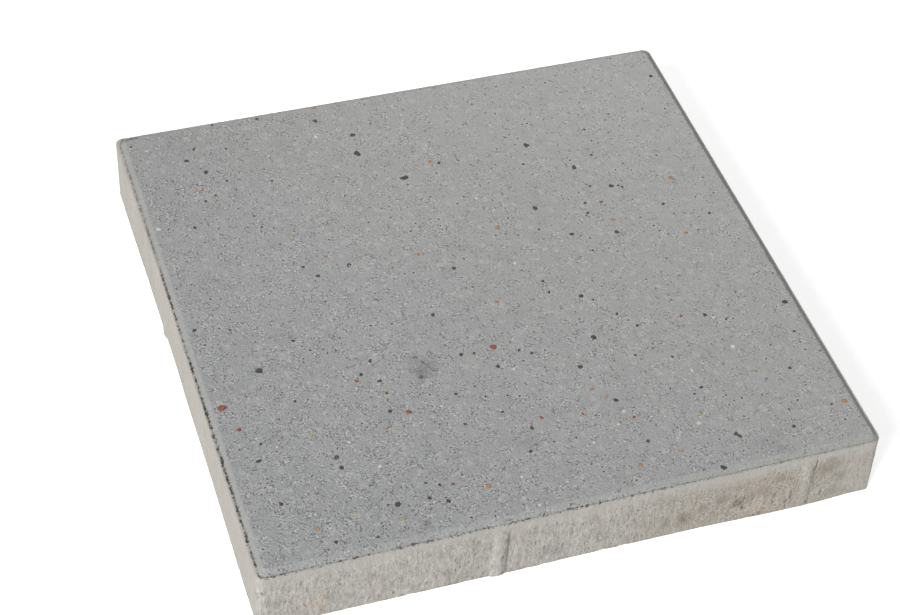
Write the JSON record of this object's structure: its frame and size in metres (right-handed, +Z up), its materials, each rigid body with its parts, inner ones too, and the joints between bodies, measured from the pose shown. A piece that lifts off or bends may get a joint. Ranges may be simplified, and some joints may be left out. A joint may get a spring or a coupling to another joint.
{
  "type": "concrete paving slab",
  "caption": "Square cast concrete paving slab with a bevelled walking face, rounded upright corners and tapered spacer nibs on its sides.",
  "frame": {"origin": "centre of the underside, on the bedding plane", "axes": "+Z up through the walking face; +X and +Y square to two neighbouring sides; seen from outside, the nibs on each side stand a quarter of their spacing to the right of the middle"},
  "size_m": [0.404, 0.404, 0.05],
  "materials": {
    "concrete": "matt, fine-grained grey concrete with sand and coloured grit in the face"
  },
  "bodies": {
    "root": {"paving_slab": "concrete"}
  },
  "joints": []
}
